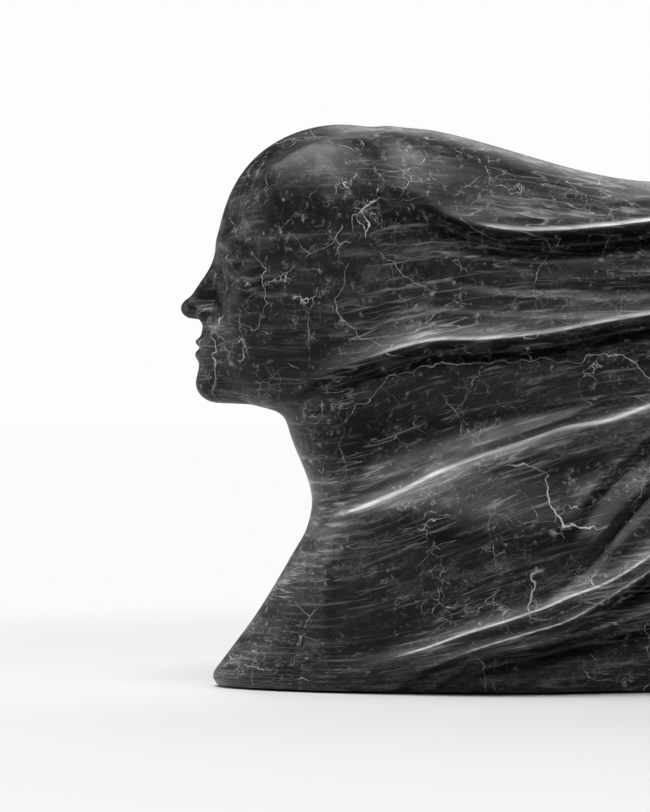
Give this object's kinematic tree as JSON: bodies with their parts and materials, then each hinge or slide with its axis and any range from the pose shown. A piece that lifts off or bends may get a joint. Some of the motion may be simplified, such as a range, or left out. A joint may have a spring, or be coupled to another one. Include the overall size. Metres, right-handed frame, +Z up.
{
  "type": "marble bust",
  "caption": "Black marble bust with a tipped-back head and windswept drapery streaming behind, on felt pads, with threaded anchors under the base.",
  "frame": {"origin": "on the resting plane, under the middle of the bust's box", "axes": "+Z up; the head looks towards -X and the drapery trails towards +X; +Y towards the bust's right shoulder"},
  "size_m": [0.6363, 0.2218, 0.449],
  "materials": {
    "marble": "honed black marble with white veins",
    "anchor_steel": "turned stainless steel",
    "resin": "cured stone resin",
    "felt": "pressed wool felt"
  },
  "bodies": {
    "root": {"carved_bust": "marble", "front_anchor": "anchor_steel", "rear_anchor": "anchor_steel", "front_anchor_resin": "resin", "rear_anchor_resin": "resin", "pad_front": "felt", "pad_left_fore": "felt", "pad_right_fore": "felt", "pad_left_mid": "felt", "pad_right_mid": "felt", "pad_left_rear": "felt", "pad_right_rear": "felt"}
  },
  "joints": []
}
